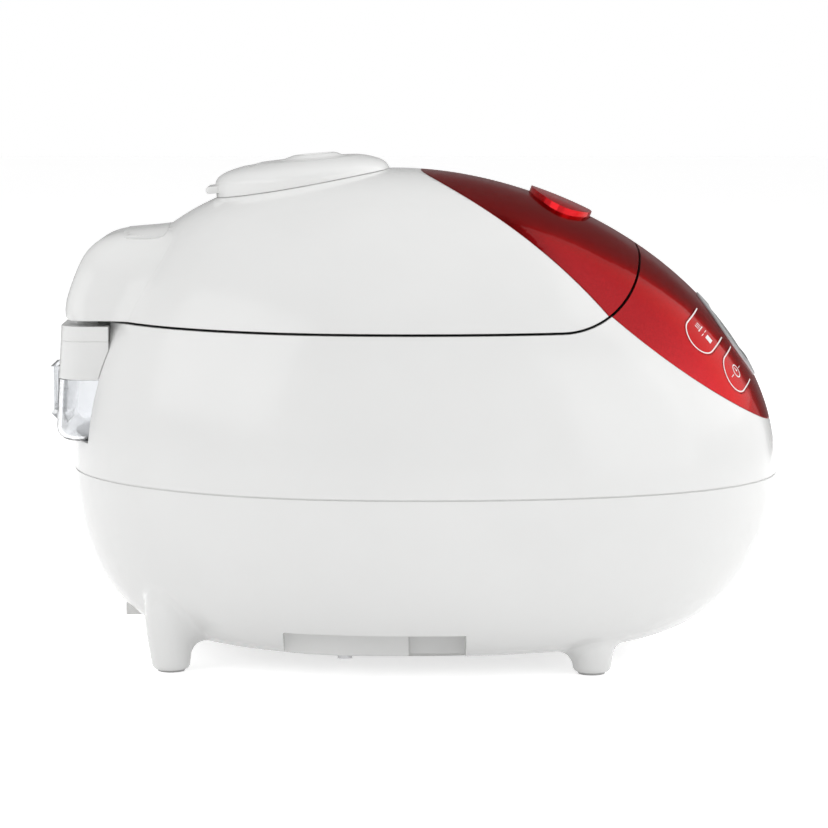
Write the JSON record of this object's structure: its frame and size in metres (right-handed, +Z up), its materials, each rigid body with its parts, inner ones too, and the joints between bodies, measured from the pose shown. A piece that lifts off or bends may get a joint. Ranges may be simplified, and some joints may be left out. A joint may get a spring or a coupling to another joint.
{
  "type": "rice cooker",
  "caption": "Egg-shaped countertop rice cooker with a hinged domed lid, push-button latch, removable steam cap, inner pot, sloped control panel with keys and a rear dew collector.",
  "frame": {"origin": "on the table under the middle of the overall box", "axes": "+X to the front with the display, +Z up, Y = 0 is the mirror plane"},
  "size_m": [0.3626, 0.2746, 0.2475],
  "materials": {
    "white_plastic": "glossy moulded white plastic",
    "red_lacquer": "glossy metallic red lacquer",
    "red_clear": "translucent red plastic",
    "clear_plastic": "clear polycarbonate",
    "dark_plastic": "black moulded plastic",
    "grey_plastic": "satin grey plastic",
    "silver_trim": "silver painted trim",
    "circuit_board": "printed circuit board",
    "steel": "plain steel",
    "aluminium": "satin aluminium",
    "nonstick": "dark non-stick coating",
    "silicone": "soft silicone"
  },
  "bodies": {
    "root": {"lower_case": "white_plastic", "base_cover": "white_plastic", "cover_screws": "steel", "foot_pads": "silicone", "upper_case": "white_plastic", "control_panel": "red_lacquer", "display_bezel": "silver_trim", "display_window": "clear_plastic", "display_module": "dark_plastic", "control_board": "circuit_board", "key_switches": "dark_plastic", "buzzer": "dark_plastic", "power_board": "circuit_board", "power_parts": "dark_plastic", "inner_pot": "nonstick", "pot_chamber": "aluminium", "heating_plate": "aluminium", "heating_element": "steel", "heater_supports": "steel", "side_heater": "steel", "sensor_spring": "steel", "sensor_bracket": "steel", "deck": "dark_plastic", "latch_strike": "steel", "hinge_housing": "white_plastic", "hinge_pin": "steel", "hinge_spring": "steel", "rear_cover": "white_plastic", "inlet_socket": "white_plastic", "inlet_pins": "steel"},
    "lid": {"lid_cover": "white_plastic", "lid_panel": "red_lacquer", "lid_liner": "grey_plastic", "lid_screws": "steel", "lid_gasket": "silicone", "inner_lid": "aluminium", "steam_duct": "grey_plastic", "button_springs": "steel", "latch_frame": "dark_plastic", "latch_pin": "steel"},
    "lid_button": {"lid_button": "red_clear"},
    "latch": {"latch_hook": "dark_plastic"},
    "steam_cap": {"steam_cap": "white_plastic", "steam_cap_base": "white_plastic", "steam_cap_seal": "silicone"},
    "dew_collector": {"dew_collector": "clear_plastic"},
    "sensor": {"sensor_cup": "aluminium"},
    "key_upper_near": {"key_upper_near": "red_lacquer"},
    "key_upper_far": {"key_upper_far": "red_lacquer"},
    "key_lower_near": {"key_lower_near": "red_lacquer"},
    "key_lower_far": {"key_lower_far": "red_lacquer"}
  },
  "joints": [
    {"name": "lid_hinge", "type": "hinge", "parent": "root", "child": "lid", "pos_m": [-0.161, 0, 0.178], "axis": [0, -1, 0], "range_deg": [0, 85]},
    {"name": "lid_button_press", "type": "slide", "parent": "lid", "child": "lid_button", "axis": [-0.3843, 0, -0.9232], "range_m": [0, 0.0025], "stiffness_N_per_m": 800, "springref_m": -0.002, "deforming": ["button_springs"]},
    {"name": "latch_release", "type": "hinge", "parent": "lid", "child": "latch", "pos_m": [0.086, 0, 0.193], "axis": [0, -1, 0], "range_deg": [0, 6.1]},
    {"name": "steam_cap_lift", "type": "slide", "parent": "lid", "child": "steam_cap", "axis": [-0.0854, 0, 0.9963], "range_m": [0, 0.04]},
    {"name": "dew_collector_pull", "type": "slide", "parent": "root", "child": "dew_collector", "axis": [-1, 0, 0], "range_m": [0, 0.045]},
    {"name": "sensor_plunge", "type": "slide", "parent": "root", "child": "sensor", "axis": [0, 0, -1], "range_m": [0, 0.002], "stiffness_N_per_m": 600, "springref_m": -0.003, "deforming": ["sensor_spring"]},
    {"name": "key_upper_near_press", "type": "slide", "parent": "root", "child": "key_upper_near", "axis": [-0.8039, 0, -0.5948], "range_m": [0, 0.0006], "stiffness_N_per_m": 1500, "springref_m": -0.0005},
    {"name": "key_upper_far_press", "type": "slide", "parent": "root", "child": "key_upper_far", "axis": [-0.8039, 0, -0.5948], "range_m": [0, 0.0006], "stiffness_N_per_m": 1500, "springref_m": -0.0005},
    {"name": "key_lower_near_press", "type": "slide", "parent": "root", "child": "key_lower_near", "axis": [-0.8039, 0, -0.5948], "range_m": [0, 0.0006], "stiffness_N_per_m": 1500, "springref_m": -0.0005},
    {"name": "key_lower_far_press", "type": "slide", "parent": "root", "child": "key_lower_far", "axis": [-0.8039, 0, -0.5948], "range_m": [0, 0.0006], "stiffness_N_per_m": 1500, "springref_m": -0.0005}
  ],
  "couplings": [
    {"joint": "latch_release", "follows": "lid_button_press", "rad_per_m": 41.437}
  ]
}
